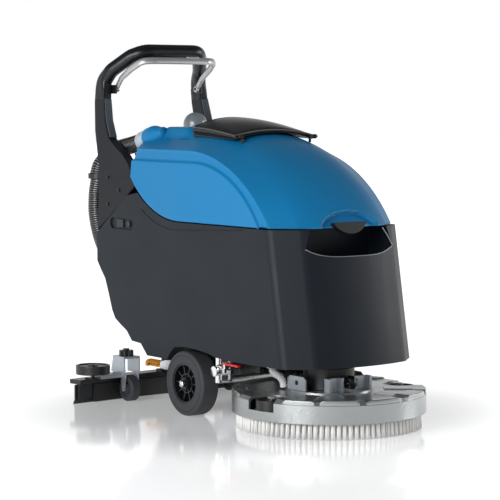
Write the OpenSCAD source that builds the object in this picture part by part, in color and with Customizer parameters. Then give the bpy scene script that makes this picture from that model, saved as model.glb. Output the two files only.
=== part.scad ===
// Walk-behind wet dry floor scrubber with one disc brush.
// +X is the direction of travel, +Y the operator's left, +Z up; the floor is z = 0.

/* [Body] */
// Half of the body's width across its flat sides
body_half_w = 222; // [215:1:230]
// Height of the joint between the dark lower body and the recovery tank
seam_z = 546; // [535:1:560]
// Height of the lower body's front bottom edge
body_bottom_z = 180; // [176:1:190]
// Angle by which the nose leans back, in degrees
nose_rake = 10; // [8:0.5:12]

/* [Brush head] */
// Distance of the brush centre ahead of the origin
deck_x = 330; // [320:1:335]
// Outer radius of the brush deck
deck_r = 265; // [255:1:265]
// Height of the flat top of the brush deck
deck_top_z = 101; // [98:1:104]
// Radius of the brush at the floor
brush_r = 254; // [245:1:256]

/* [Wheels] */
// Rolling radius of the two fixed wheels
wheel_r = 91.5; // [88:0.5:92]
// Width of a fixed wheel's tyre
wheel_w = 56; // [48:1:58]
// Distance of the wheels' outer faces from the middle plane
wheel_face_y = 221; // [219:1:223]
// Number of spokes in a rim
spokes = 10; // [8:1:12]

/* [Handle] */
// Height of the top of the grip
grip_top_z = 1050; // [1045:1:1060]
// Radius of the grip
grip_r = 22; // [18:1:22]

/* [Squeegee] */
// Half of the squeegee's length across the machine
squeegee_half_l = 350; // [340:1:355]
// Radius of the squeegee's curve, seen from above
squeegee_curve_r = 2500; // [2400:50:3000]

/* [Hidden] */
$fn = 64;

body_colour = [0.17, 0.19, 0.21];
black_plastic = [0.06, 0.06, 0.07];
tank_blue = [0.12, 0.45, 0.72];
silver = [0.72, 0.74, 0.76];
rubber_grey = [0.25, 0.26, 0.28];

wall = 7;
gap = 0.5;                       // clearance between neighbouring pieces that don't touch
run = 0.05;                      // radial clearance of a running fit
seam_gap = 3;
cheek_lean = 4.6;                // degrees by which the handle's sides lean inwards
cheek_foot_z = 500;

// Circular arcs of the recovery tank, each [centre x, centre z, radius, y, rear z]
crown_arc = [-64, 208, 597, 0, 800];
mid_arc = [-64, 208, 590, 80, 793];
crease_arc = [-64, 208, 567, 150, 771];
shoulder_arc = [-40, 287, 457, 214, 745];
panel_arc = [0, 351, 360, 222, 712];
tank_rear_x = -335;
sill_arc = [-70, 857, 311];      // the side sill's sweep up at the rear

axle_x = -43;
axle_r = 10;
rim_r = 57;
hinge_x = -352;                  // the recovery tank's hinge
hinge_z = 728;
inlet = [-338, -136, 773];       // where the suction hose's cuff leaves the tank
inlet_tilt = -14;
lid_pin_x = 94;
lid_pin_z = 783;
lid_rear_x = -116;
lid_front_x = 86;
lid_half_w = 142;
lever_x = -500;
lever_z = 918;
grip_x = -427;
grip_z = grip_top_z - grip_r;
frame_z = 140;                   // underside of the base frame's plate
caster_x = -290;
caster_r = 40;
arm_pivot_x = -150;
arm_pivot_z = 118;
squeegee_x = -440;               // the squeegee's middle
swing_x = -372;
bracket_y = 185;
roller_deck_x = 366;
roller_deck_y = 222;
knob_z = 128;
support_wheel_x = -375;

// ---------------------------------------------------------------- helpers

function lerp(a, b, t) = a + (b - a) * t;

// Point i of n on a tank arc: a straight run from the rear, then the arc down to the seam
function arc_end(a) = acos((seam_z - a[1]) / a[2]);
function arc_point(a, i, n, straight = 4) =
    i <= straight
        ? [lerp(tank_rear_x, a[0], i / straight), a[3],
           lerp(a[4], a[1] + a[2], i / straight)]
        : let (t = arc_end(a) * (i - straight) / (n - straight))
          [a[0] + a[2] * sin(t), a[3], a[1] + a[2] * cos(t)];

function sill_z(x) = x > sill_arc[0] ? seam_z
    : sill_arc[1] - sqrt(max(0, pow(sill_arc[2], 2) - pow(x - sill_arc[0], 2)));

function mirror_y(p) = [p[0], -p[1], p[2]];

// One section of the recovery tank, from the left sill over the crown to the right sill
function tank_half(i, n) =
    let (p = arc_point(panel_arc, i, n), x = p[0] - min(i, 1) * 2)
    [[x, 219, i == n ? seam_z : min(sill_z(x), p[2] - 4)],
     [p[0], 222, p[2]], arc_point(shoulder_arc, i, n), arc_point(crease_arc, i, n),
     arc_point(mid_arc, i, n)];
function tank_section(i, n) =
    let (h = tank_half(i, n))
    concat(h, [arc_point(crown_arc, i, n)],
        [for (k = [len(h) - 1:-1:0]) mirror_y(h[k])]);

// A closed skin over a list of sections with equal numbers of points
module skin(sections) {
    n = len(sections);
    m = len(sections[0]);
    polyhedron(
        points = [for (s = sections) each s],
        faces = concat(
            [[for (j = [0:m - 1]) j]],
            [for (i = [0:n - 2], j = [0:m - 1])
                [i * m + j, (i + 1) * m + j, (i + 1) * m + (j + 1) % m, i * m + (j + 1) % m]],
            [[for (j = [m - 1:-1:0]) (n - 1) * m + j]]),
        convexity = 6);
}

// A closed tube of radius r with the given number of sides along a list of points
function unit(v) = v / norm(v);
function tangent(p, i) = unit(p[min(i + 1, len(p) - 1)] - p[max(i - 1, 0)]);
function side_axis(t) = unit(abs(t[1]) > 0.9 ? cross(t, [1, 0, 0]) : cross(t, [0, 1, 0]));
function ring(c, t, r, sides) =
    let (u = side_axis(t), v = cross(t, u))
    [for (k = [0:sides - 1]) c + r * (cos(360 * k / sides) * u + sin(360 * k / sides) * v)];
module tube(path, r, sides = 12)
    skin([for (i = [0:len(path) - 1]) ring(path[i], tangent(path, i), r, sides)]);

// Points of a smooth curve through control points, a few to each stretch
function spline_at(p, i, t) =
    let (a = p[max(i - 1, 0)], b = p[i], c = p[i + 1], d = p[min(i + 2, len(p) - 1)])
    0.5 * (2 * b + (c - a) * t + (2 * a - 5 * b + 4 * c - d) * t * t
        + (3 * b - a - 3 * c + d) * t * t * t);
function spline(p, steps = 3) = concat(
    [for (i = [0:len(p) - 2], k = [0:steps - 1]) spline_at(p, i, k / steps)],
    [p[len(p) - 1]]);

module along_y(x, y0, y1, z, r)
    translate([x, min(y0, y1), z]) rotate([-90, 0, 0]) cylinder(r = r, h = abs(y1 - y0));

module both_sides() {
    children();
    mirror([0, 1, 0]) children();
}

// A plate drawn in the XZ plane, from y0 to y1
module side_plate(y0, y1, points)
    translate([0, y1, 0]) rotate([90, 0, 0]) linear_extrude(y1 - y0) polygon(points);

module rounded_box(size, r)
    translate([0, 0, size[2] / 2]) linear_extrude(size[2], center = true)
        rounded_square(size, r);
module rounded_square(size, r) {
    square([size[0] - 2 * r, size[1]], center = true);
    square([size[0], size[1] - 2 * r], center = true);
    for (x = [-1, 1], y = [-1, 1])
        translate([x * (size[0] / 2 - r), y * (size[1] / 2 - r)]) circle(r);
}

// Part of a ring about the squeegee's centre of curvature, from its (radius, z) outline
module curved_bar(half_l, outline) {
    half_a = asin(half_l / squeegee_curve_r);
    translate([squeegee_x + squeegee_curve_r, 0, 0]) rotate([0, 0, 180 - half_a])
        rotate_extrude(angle = 2 * half_a, $fn = 200)
            translate([squeegee_curve_r, 0]) polygon(outline);
}

// ---------------------------------------------------------------- lower body

// Points of the arc of radius r that rounds the corner b between the lines to a and c
function corner_arc(a, b, c, r, n = 5) =
    let (u = unit(a - b), v = unit(c - b), half = acos(u * v) / 2,
         m = b + unit(u + v) * r / sin(half), s = b + u * r / tan(half), e = b + v * r / tan(half))
    [for (i = [0:n]) m + r * unit(lerp(s, e, i / n) - m)];

// The front shape of the body seen from above: flat sides, rounded chamfers and a bowed nose
bow_x = 424;
bow_r = 536;
chamfer = [[341, 222], [402, 151]];                // where the chamfer meets the side and the nose
function bow_point(y, grow) = [bow_x + grow - bow_r + sqrt(bow_r * bow_r - y * y), y];
function nose_half(grow) =
    let (side = chamfer[0] + [grow, grow + body_half_w - 222], tip = chamfer[1] + [grow, grow / 2])
    concat(
        [[-700, side[1]]],
        corner_arc([-700, side[1]], side, tip, 32),
        corner_arc(side, tip, bow_point(100, grow), 60),
        [for (y = [100:-25:25]) bow_point(y, grow)]);
module nose_outline(grow = 0) {
    h = nose_half(grow);
    polygon(concat(h, [bow_point(0, grow)], [for (k = [len(h) - 1:-1:0]) [h[k][0], -h[k][1]]]));
}

module raked_nose(grow = 0, h = 640)
    translate([0, 0, seam_z]) rotate([0, -nose_rake, 0]) translate([0, 0, -h + 120])
        linear_extrude(h) nose_outline(grow);

body_side = [[520, body_bottom_z], [204, 176], [111, 180], [64, 189], [20, 193], [-43, 195],
    [-90, 189], [-112, 172], [-126, 152], [-228, 152], [-262, 184], [-308, 187], [-335, 214],
    [-372, 232], [-396, 245], [-412, 268], [-432, 318], [-450, 359], [-474, 386], [-493, 410],
    [-493, 493], [-449, 525], [-395, 563], [-351, 596], [-306, 634], [-280, 622], [-260, 607]];
body_top = [for (x = [-240:40:-80]) [x, sill_z(x) - seam_gap]];

module body_outer()
    intersection() {
        side_plate(-body_half_w, body_half_w, concat(body_side, body_top,
            [[-60, seam_z - seam_gap], [520, seam_z - seam_gap]]));
        raked_nose();
    }

module water_space()
    intersection() {
        side_plate(-body_half_w + wall, body_half_w - wall,
            [[520, 187], [204, 184], [120, 188], [64, 197], [-43, 203], [-126, 198], [-200, 196],
             [-300, 200], [-340, 225], [-405, 262], [-440, 362], [-484, 415], [-484, 486],
             [-440, 520], [-300, 606], [-262, 588], [-180, 556], [-100, seam_z - 10],
             [520, seam_z - 10]]);
        raked_nose(-wall);
    }

bay = [[-280, 226], [-196, 196], [244, 620]];      // battery bay with its walls, [x], [y], [z]
module block(lo_hi_x, lo_hi_y, lo_hi_z)
    translate([lo_hi_x[0], lo_hi_y[0], lo_hi_z[0]])
        cube([lo_hi_x[1] - lo_hi_x[0], lo_hi_y[1] - lo_hi_y[0], lo_hi_z[1] - lo_hi_z[0]]);

pocket_floor_z = 440;
pocket_x = 318;
pocket_half_w = 150;
pocket_rim_z = 470;
pocket_rim_rise = 22;                               // how much higher the rim is at its ends
pocket_top_half_w = 112;
function rim_z(y) = pocket_rim_z + pocket_rim_rise * pow(y / pocket_half_w, 4);

// The pocket's mouth: the front wall is cut away above a rim that dips in the middle
module pocket_mouth()
    translate([pocket_x, 0, 0]) rotate([90, 0, 90]) linear_extrude(240)
        polygon(concat([for (y = [-pocket_half_w:15:pocket_half_w]) [y, rim_z(y)]],
            [[pocket_top_half_w, 600], [-pocket_top_half_w, 600]]));

fill_hole = [372, 62, 28];                          // x, y, radius

module solution_tank()
    color(body_colour) difference() {
        body_outer();
        difference() {
            water_space();
            block(bay[0], bay[1], bay[2]);
            translate([deck_x, 0, 100]) cylinder(r = 96, h = 314);
            block([pocket_x - wall, 560], [-pocket_half_w - wall, pocket_half_w + wall],
                [pocket_floor_z - wall, 600]);
        }
        block(bay[0] + [wall, -wall], bay[1] + [wall, -wall], bay[2] + [wall, 0]);
        translate([deck_x, 0, 90]) cylinder(r = 89, h = 316);
        intersection() {
            block([pocket_x, 560], [-pocket_half_w, pocket_half_w], [pocket_floor_z, 600]);
            union() {
                raked_nose(-wall);
                pocket_mouth();
            }
        }
        translate([fill_hole[0], fill_hole[1], pocket_floor_z - 20])
            cylinder(r = fill_hole[2], h = 60);
        both_sides() {
            block([-405, -309], [body_half_w - 5, body_half_w + 5], [510, 542]);
            for (dx = [-48, 48])
                along_y(-357 + dx, body_half_w - 5, body_half_w + 5, 526, 16);
        }
    }

module fill_cap()
    color(black_plastic) translate([fill_hole[0], fill_hole[1], pocket_floor_z + gap]) {
        translate([0, 0, -14]) cylinder(r = fill_hole[2] - gap, h = 15);
        cylinder(r = fill_hole[2] + 8, h = 10);
        for (a = [0:30:330]) rotate([0, 0, a]) translate([fill_hole[2] + 6, 0, 0])
            cylinder(r = 4, h = 10, $fn = 24);
        translate([-24, -4, 9]) cube([48, 8, 11]);
    }

module charger_socket()
    color(black_plastic) both_sides() {
        block([-387, -353], [body_half_w - 5, body_half_w - 1], [514, 538]);
        along_y(-326, body_half_w - 5, body_half_w - 0.5, 526, 10);
    }

module chassis_screws()
    color(silver) {
        both_sides() {
            for (p = [[-453, 658], [-443, 579], [-389, 622]])
                cheek_frame() along_y(p[0], 0.2, 3.2, p[1] - cheek_foot_z, 5);
            along_y(axle_x, 219.5, 222, wheel_r, 15);
            translate([axle_x, 222, wheel_r]) rotate([-90, 30, 0]) cylinder(r = 10, h = 6, $fn = 6);
        }
        for (x = [-230, 20, 150], y = [-110, 110])
            translate([x, y, frame_z - 4]) cylinder(r = 8, h = 4, $fn = 6);
    }

// ---------------------------------------------------------------- running gear

module base_frame()
    color(black_plastic) difference() {
        union() {
            translate([-50, 0, frame_z]) rounded_box([480, 260, 8], 20);
            block([60, 188], [-128, -120], [frame_z, 175.5]);
            block([60, 188], [120, 128], [frame_z, 175.5]);
            both_sides() {
                side_plate(126, 134, [[axle_x - 45, frame_z + 4], [axle_x - 16, 74],
                    [axle_x + 16, 74], [axle_x + 45, frame_z + 4]]);
                side_plate(92, 100, [[arm_pivot_x - 28, frame_z + 4], [arm_pivot_x - 12, 106],
                    [arm_pivot_x + 12, 106], [arm_pivot_x + 28, frame_z + 4]]);
            }
            translate([caster_x, 0, frame_z - 6]) cylinder(r = 30, h = 8);
        }
        along_y(axle_x, -150, 150, wheel_r, axle_r);
        along_y(arm_pivot_x, -110, 110, arm_pivot_z, 6);
        translate([caster_x, 0, frame_z - 10]) cylinder(r = 8 + run, h = 30);
        block([60, 210], [-90, 90], [frame_z - 1, frame_z + 9]);
    }

module axle()
    color(silver) {
        along_y(axle_x, -219.5, 219.5, wheel_r, axle_r);
        along_y(arm_pivot_x, -104, 104, arm_pivot_z, 6);
    }

module tyre_shape() {
    h = wheel_w / 2;
    rotate([90, 0, 0]) rotate_extrude($fn = 120) difference() {
        union() {
            translate([rim_r, -h]) square([wheel_r - rim_r - 7, 2 * h]);
            translate([rim_r, -h + 7]) square([wheel_r - rim_r, 2 * h - 14]);
            for (s = [-1, 1]) translate([wheel_r - 7, s * (h - 7)]) circle(7, $fn = 40);
        }
        for (s = [-1, 1]) translate([wheel_r - 12, s * h]) circle(1.5, $fn = 24);
    }
}

module rim_shape() {
    h = wheel_w / 2;
    rotate([90, 0, 0]) difference() {
        union() {
            difference() {
                translate([0, 0, -h + 2]) cylinder(r = rim_r, h = 2 * h - 4);
                translate([0, 0, -h]) cylinder(r = rim_r - 5, h = 2 * h);
            }
            translate([0, 0, -3]) cylinder(r = rim_r - 2, h = 6);
            translate([0, 0, -h + 2]) cylinder(r = 17, h = 2 * h - 4);
            for (s = [0, 1]) mirror([0, 0, s]) {
                difference() {
                    cylinder(r = 28, h = 20);
                    cylinder(r = 25, h = 30);
                }
                for (k = [0:spokes - 1]) rotate([0, 0, k * 360 / spokes])
                    translate([15, -1.75, 0]) cube([rim_r - 17, 3.5, 19]);
            }
        }
        cylinder(r = axle_r + run, h = 100, center = true);
    }
}

module wheel_place(side) translate([axle_x, side * (wheel_face_y - wheel_w / 2), wheel_r]) children();
module tyre_right() color(rubber_grey) wheel_place(-1) tyre_shape();
module tyre_left() color(rubber_grey) wheel_place(1) tyre_shape();
module rim_right() color(black_plastic) wheel_place(-1) rim_shape();
module rim_left() color(black_plastic) wheel_place(1) rim_shape();

module caster_fork()
    color(silver) translate([caster_x, 0, 0]) {
        translate([0, 0, 122]) cylinder(r = 8, h = 24);
        translate([0, 0, 122]) cylinder(r = 28, h = 6);
        translate([0, 0, 110]) cylinder(r = 20, h = 12.5);
        translate([-20, -22, 108]) cube([34, 44, 4]);
        both_sides() side_plate(18, 22, [[-20, 112], [14, 112], [-10, 30], [-34, 30]]);
        along_y(-22, -26, 26, caster_r, 5);
        both_sides() translate([-22, 22, caster_r]) rotate([-90, 0, 0]) cylinder(r = 9, h = 5, $fn = 6);
    }

module caster_wheel()
    color(rubber_grey) translate([caster_x - 22, 0, caster_r]) rotate([90, 0, 0])
        small_wheel(caster_r, 28, 5 + run);

// A small wheel with a rounded tread and a dished hub, its axis along Z
module small_wheel(r, w, bore)
    rotate_extrude($fn = 80) difference() {
        union() {
            translate([bore, -w / 2]) square([r - bore - 4, w]);
            translate([bore, -w / 2 + 4]) square([r - bore, w - 8]);
            for (s = [-1, 1]) translate([r - 4, s * (w / 2 - 4)]) circle(4, $fn = 32);
        }
        for (s = [-1, 1]) translate([r * 0.42, s * (w / 2 - 2) - 2.01])
            square([r * 0.26, 4.02]);
    }

// ---------------------------------------------------------------- inside the body

module batteries()
    color(rubber_grey) both_sides() {
        block([-225, 95], [6, 176], [bay[2][0] + wall, 450]);
        block([-229, 99], [4, 178], [450.001, 470]);
        for (x = [-195, 65]) translate([x, 60, 470.001]) cylinder(r = 8, h = 12);
    }

module battery_leads()
    color([0.7, 0.1, 0.08]) {
        tube(spline([[65, 60, 488], [65, 40, 500], [65, 0, 506], [65, -40, 500], [65, -60, 488]]), 5, 8);
        tube(spline([[-195, 60, 488], [-205, 70, 505], [-222, 90, 512], [-240, 100, 500],
            [-258, 104, 470]]), 5, 8);
    }

module vacuum_motor()
    color(silver) translate([-402, 0, 0]) {
        translate([0, 0, 600]) cylinder(r = 34, h = 34);
        translate([0, 0, 592]) cylinder(r = 25, h = 9);
        translate([0, 0, 633]) cylinder(r = 18, h = 16);
    }

module solution_valve()
    color(silver) {
        block([56, 100], [-164, -158], [108, 181]);
        along_y(70, -200, -164, 136, 14);
        translate([70, -184, 104]) cylinder(r = 10, h = 30);
        translate([70, -184, 136]) cylinder(r = 8, h = 50);
        translate([70, -184, 148]) rotate([0, 90, 0]) cylinder(r = 9, h = 28);
        translate([100, -184, 136]) cylinder(r = 2.5, h = 25);
        translate([92, -188, 134]) cube([12, 8, 12]);
    }

module valve_lever()
    color([0.8, 0.1, 0.08]) translate([100, -184, 148]) {
        difference() {
            translate([0, 0, 9.5]) cylinder(r = 7, h = 5);
            cylinder(r = 2.5 + run, h = 20);
        }
        rotate([0, 0, -5]) translate([4, -4.5, 10]) cube([70, 9, 4]);
    }

hose_route_white = [[214, -106, 174], [214, -106, 166], [222, -110, 152], [238, -116, 143],
    [254, -114, 137], [262, -106, 124], [263, -103, 107]];
module solution_hose()
    color([0.85, 0.86, 0.88]) tube(spline(hose_route_white, 3), 9.5, 10);

// ---------------------------------------------------------------- recovery tank

tank_n = 18;
tank_sections = [for (i = [0:tank_n]) tank_section(i, tank_n)];
cavity_centre = [0, 0, 675];
cavity_scale = [0.94, 0.962, 0.938];
function shrink(p) = [for (k = [0:2]) cavity_centre[k] + (p[k] - cavity_centre[k]) * cavity_scale[k]];
basket = [-76, 56, 96];                             // rear x, front x, half width
basket_tab = [-60, 0, 787];                         // rear x, front x, underside of its tabs

module recovery_tank()
    color(tank_blue) {
        difference() {
            union() {
                skin(tank_sections);
                inlet_frame() translate([0, 0, -44]) cylinder(r = 31, h = 43.7, $fn = 40);
            }
            skin([for (s = tank_sections) [for (p = s) shrink(p)]]);
            inlet_frame() translate([0, 0, -60]) cylinder(r = 22, h = 70, $fn = 40);
            block([basket[0] - 4, basket[1] + 4], [-basket[2] - 4, basket[2] + 4], [700, 900]);
            for (y = [-basket[2] - 8, basket[2] - 8])
                block([basket_tab[0] - gap, basket_tab[1] + gap], [y, y + 16], [basket_tab[2] - gap, 900]);
            translate([406, 0, seam_z - 12]) rotate([0, 90, 0])
                linear_extrude(60) polygon([for (a = [-90:10:90]) [-48 * cos(a), 88 * sin(a)]]);
            latch_shape(gap);
        }
    }

module tank_hinge_ears()
    color(tank_blue) both_sides() difference() {
        union() {
            along_y(hinge_x, 132, 146, hinge_z, 11);
            side_plate(132, 146, [[hinge_x, hinge_z - 11], [tank_rear_x - 0.2, hinge_z - 22],
                [tank_rear_x - 0.2, hinge_z + 12], [hinge_x, hinge_z + 11]]);
        }
        along_y(hinge_x, 120, 160, hinge_z, 6 + run);
    }

module tank_hinge_pin()
    color(silver) along_y(hinge_x, -176, 176, hinge_z, 6);

module inlet_frame() translate(inlet) rotate([0, inlet_tilt - 90, 0]) children();
module inlet_cuff()
    color(silver) difference() {
        inlet_frame() difference() {
            union() {
                cylinder(r = 29, h = 34);
                translate([0, 0, 33]) cylinder(r1 = 29, r2 = 27, h = 8);
            }
            translate([0, 0, 10]) cylinder(r = 25.6, h = 40);
            translate([0, 0, -1]) cylinder(r = 22, h = 40);
        }
        block([tank_rear_x - gap, tank_rear_x + 40], [-200, -80], [700, 850]);
    }

// The release grip: flat along the top and round below, leaning back with the nose
module latch_shape(grow = 0)
    translate([408 - grow, 0, seam_z]) rotate([0, -nose_rake - 6, 0]) rotate([0, 90, 0])
        linear_extrude(15 + 2 * grow) intersection() {
            translate([-49, 0]) circle(70 + grow, $fn = 96);
            translate([-11 - grow, -80]) square([60, 160]);
        }
module front_latch()
    color(black_plastic) latch_shape();

module debris_basket()
    color([0.85, 0.8, 0.2]) difference() {
        union() {
            translate([-10, 0, 690]) rounded_box([128, 184, 92], 14);
            for (s = [0, 1]) mirror([0, s, 0]) {
                block([basket_tab[0], basket_tab[1]], [89, 95], [775, basket_tab[2] + 3]);
                block([basket_tab[0], basket_tab[1]], [89, 103], [basket_tab[2], basket_tab[2] + 3]);
            }
        }
        translate([-10, 0, 693]) rounded_box([122, 178, 95], 11);
        for (x = [-55:18:35], y = [-75:30:75])
            translate([x, y, 680]) cylinder(r = 5, h = 20, $fn = 24);
    }

function lid_top(x, y) =
    let (u = (x - lid_rear_x) / (lid_front_x - lid_rear_x))
    lerp(809, 787, pow(u, 1.6)) + 34 * (1 - pow(y / lid_half_w, 2)) * (1 - 0.55 * pow(u, 4));
function lid_floor(x, y) =
    let (u = (x - lid_rear_x) / (lid_front_x - lid_rear_x))
    lerp(782, 774, u) + 31 * (1 - pow(y / lid_half_w, 2)) * (1 - 0.35 * pow(u, 4));

module tank_lid() {
    nx = 10;
    ny = 12;
    function grid_x(i) = lerp(lid_rear_x, lid_front_x, i / nx);
    function grid_y(j) = lerp(-lid_half_w, lid_half_w, j / ny);
    color(black_plastic) {
        skin([for (i = [0:nx]) let (x = grid_x(i)) concat(
            [for (j = [0:ny]) [x, grid_y(j), lid_floor(x, grid_y(j))]],
            [for (j = [ny:-1:0]) [x, grid_y(j), lid_top(x, grid_y(j))]])]);
        both_sides() difference() {
            union() {
                along_y(lid_pin_x, 130, 141, lid_pin_z, 6);
                block([lid_front_x - 3, lid_pin_x], [130, 141], [lid_pin_z - 3, lid_pin_z + 3]);
            }
            along_y(lid_pin_x, 120, 150, lid_pin_z, 3 + run);
        }
    }
}

module lid_hinge_pins()
    color(silver) both_sides() {
        along_y(lid_pin_x, 116, 145, lid_pin_z, 3);
        along_y(lid_pin_x, 116, 128, lid_pin_z, 5);
        block([lid_pin_x - 3, lid_pin_x + 3], [116, 122], [766, lid_pin_z]);
    }

// ---------------------------------------------------------------- handle and console

// Moves a plate drawn at y = 0 to the leaning outer face of the handle's cheek
module cheek_frame()
    translate([0, body_half_w, cheek_foot_z]) rotate([cheek_lean, 0, 0]) children();

cheek_outline = [[-493, 499], [-497, 600], [-509, 692], [-541, 795], [-553, 880], [-553, 925],
    [-506, 925], [-504, 891], [-488, 825], [-461, 775], [-420, 750], [-379, 728], [-345, 700],
    [-327, 672], [-303, 640], [-351, 601], [-395, 568], [-449, 530]];

module handle_frame()
    color(body_colour) both_sides() difference() {
        cheek_frame() side_plate(-30, 0, [for (p = cheek_outline) [p[0], p[1] - cheek_foot_z]]);
        along_y(hinge_x, 150, 177, hinge_z, 6.5);
    }

insert_w = 4.5;
module handle_inserts()
    color(silver) both_sides() cheek_frame()
        side_plate(-27, -3, [[-503.5, 891 - cheek_foot_z], [-487.5, 825 - cheek_foot_z],
            [-460.5, 775.6 - cheek_foot_z], [-460.5 + insert_w, 778 - cheek_foot_z],
            [-487.5 + insert_w, 828 - cheek_foot_z], [-503.5 + insert_w, 891 - cheek_foot_z]]);

module lever_blocks()
    color(black_plastic) both_sides() {
        block([-512, -488], [152, 158], [904, 930]);
        along_y(lever_x, 138, 153, lever_z, 4);
    }

module ball(p, r, n = 24) translate(p) sphere(r, $fn = n);

module grip_half() {
    hull() {
        ball([-530, 172, 938], 22);
        ball([-505, 160, 968], grip_r);
    }
    hull() {
        ball([-505, 160, 968], grip_r);
        ball([-452, 112, 1018], grip_r);
    }
    hull() {
        ball([-452, 112, 1018], grip_r);
        ball([grip_x, 84, grip_z], grip_r);
    }
}
module grip_sleeve()
    color(black_plastic) difference() {
        union() {
            both_sides() grip_half();
            along_y(grip_x, -84, 84, grip_z, grip_r);
        }
        block([-600, -400], [-220, 220], [880, 926.5]);
    }

module lever_side() {
    difference() {
        along_y(lever_x, 140, 151, lever_z, 10);
        along_y(lever_x, 130, 160, lever_z, 4 + run);
    }
    hull() {
        ball([lever_x + 14, 144, lever_z + 9], 7);
        ball([-398, 124, 985], 9);
    }
    hull() {
        ball([-398, 124, 985], 9);
        ball([-378, 100, 1000], 9);
    }
}
module switch_lever()
    color(silver) {
        both_sides() lever_side();
        hull() for (s = [-1, 1]) ball([-378, s * 100, 1000], 9);
        translate([-384, 18, 1000]) cube([16, 44, 12.5]);
    }

module console_housing()
    color(body_colour) difference() {
        side_plate(-140, 140, [[-489, 496], [-489, 606], [-462, 636], [-408, 690], [-366, 690],
            [-366, 648], [-322, 624], [-352, 597], [-395, 564], [-449, 526]]);
        side_plate(-133, 133, [[-482, 520], [-482, 603], [-457, 631], [-405, 683], [-373, 683],
            [-373, 643], [-335, 622], [-348, 610], [-391, 578], [-444, 540]]);
        panel_frame() {
            for (y = panel_holes) translate([-10, y, -20]) cylinder(r = 8 + run, h = 40);
            translate([-10, button_y, -20]) cylinder(r = 8.4, h = 40);
        }
    }

panel_holes = [-100, 20];
button_y = -40;
module panel_frame() translate([-435, 0, 663]) rotate([0, -45, 0]) children();

module control_panel()
    color(black_plastic) panel_frame() difference() {
        translate([0, -36, 0.4]) rounded_box([66, 184, 4], 8);
        for (y = panel_holes) translate([-10, y, -5]) cylinder(r = 8 + run, h = 20);
        translate([-10, button_y, -5]) cylinder(r = 8.4, h = 20);
    }

module key_switch()
    color(silver) panel_frame() translate([-10, panel_holes[0], 0]) {
        translate([0, 0, -6]) cylinder(r = 8, h = 12);
        translate([-1.25, -7, 6]) cube([2.5, 14, 18]);
    }
module start_button()
    color([0.1, 0.55, 0.2]) panel_frame() translate([-10, button_y, -4]) cylinder(r = 8, h = 14);
module flow_knob()
    color(black_plastic) panel_frame() translate([-10, panel_holes[1], 0]) {
        translate([0, 0, -6]) cylinder(r = 8, h = 14);
        translate([0, 0, 6]) cylinder(r = 15, h = 12);
        translate([-15, -1.5, 17]) cube([15, 3, 2]);
    }

module air_filter_dome()
    color([0.6, 0.65, 0.68]) difference() {
        translate([-440, 98, 0]) {
            translate([0, 0, 630]) cylinder(r = 20, h = 80);
            translate([0, 0, 709]) cylinder(r = 36, h = 103);
            translate([0, 0, 812]) sphere(36);
        }
        side_plate(60, 140, [[-480, 618.5], [-400, 698.5], [-400, 600], [-480, 600]]);
    }

// ---------------------------------------------------------------- suction hose

hose_upper_route = [[-559, -174, 660], [-559, -174, 668], [-554, -169, 690], [-538, -154, 717],
    [-508, -144, 736], [-468, -141, 745], [-430, -138, 752], [-394, -136, 759.5], [-356, -136, 768.5]];
hose_lower_route = [[-440, 0, 109], [-440, 0, 120], [-445, -5, 150], [-462, -24, 200], [-490, -62, 262],
    [-520, -104, 330], [-545, -138, 400], [-562, -162, 470], [-570, -174, 540],
    [-567, -176, 600], [-559.5, -174, 642], [-559, -174, 656]];

module suction_hose_upper() color(rubber_grey) tube(spline(hose_upper_route), 25, 16);
module suction_hose_lower() color(rubber_grey) tube(spline(hose_lower_route), 25, 16);

module hose_clamp()
    color(black_plastic) {
        difference() {
            translate([-559, -174, 650]) cylinder(r = 31, h = 16);
            translate([-559, -174, 640]) cylinder(r = 26.5, h = 40);
        }
        block([-531, -506], [-190, -182], [650, 666]);
    }

// ---------------------------------------------------------------- brush head

module notch(side) translate([roller_deck_x, side * roller_deck_y, 66]) children();

module brush_deck()
    color(silver) difference() {
        translate([deck_x, 0, 0]) union() {
            rotate_extrude($fn = 160) polygon([[deck_r - 4, 41], [deck_r, 44], [deck_r, 92],
                [deck_r - 8, deck_top_z], [0, deck_top_z], [0, 93], [deck_r - 12, 93],
                [deck_r - 6, 86], [deck_r - 6, 41]]);
            translate([0, 0, 92]) cylinder(r = 120, h = 13);
            for (a = [-55, -20, 20, 55]) rotate([0, 0, a]) translate([150, -26, deck_top_z - 1])
                linear_extrude(4) polygon([[0, 6], [92, 0], [92, 52], [0, 46]]);
        }
        translate([deck_x, 0, 80]) cylinder(r = 22, h = 40);
        for (s = [-1, 1]) notch(s) translate([0, 0, 2]) cylinder(r = 46, h = 40);
        for (s = [-1, 1]) translate([roller_deck_x - 46, s > 0 ? roller_deck_y : -roller_deck_y - 60, 68])
            cube([92, 60, 40]);
    }

module notch_floor(side)
    notch(side) {
        intersection() {
            translate([0, 0, -2]) cylinder(r = 50, h = 3);
            translate([deck_x - roller_deck_x, -side * roller_deck_y, -10])
                cylinder(r = deck_r - 7, h = 20);
        }
        cylinder(r = 5, h = 32);
        translate([0, 0, 32]) cylinder(r = 11, h = 5, $fn = 6);
    }

module roller_shape(side)
    color(black_plastic) notch(side) difference() {
        translate([0, 0, 2]) cylinder(r = 43, h = 28);
        cylinder(r = 5 + run, h = 40);
        translate([0, 0, 27]) difference() {
            cylinder(r = 37, h = 10);
            cylinder(r = 13, h = 10);
        }
    }
module roller_right() roller_shape(-1);
module roller_left() roller_shape(1);

module brush_motor()
    color(black_plastic) translate([deck_x, 0, 0]) {
        translate([0, 0, 105.2]) cylinder(r = 70, h = 58);
        translate([0, 0, 163]) cylinder(r = 58, h = 150);
        translate([0, 0, 312]) cylinder(r = 40, h = 14);
        translate([0, 0, 50]) cylinder(r = 12, h = 56);
    }

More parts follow.
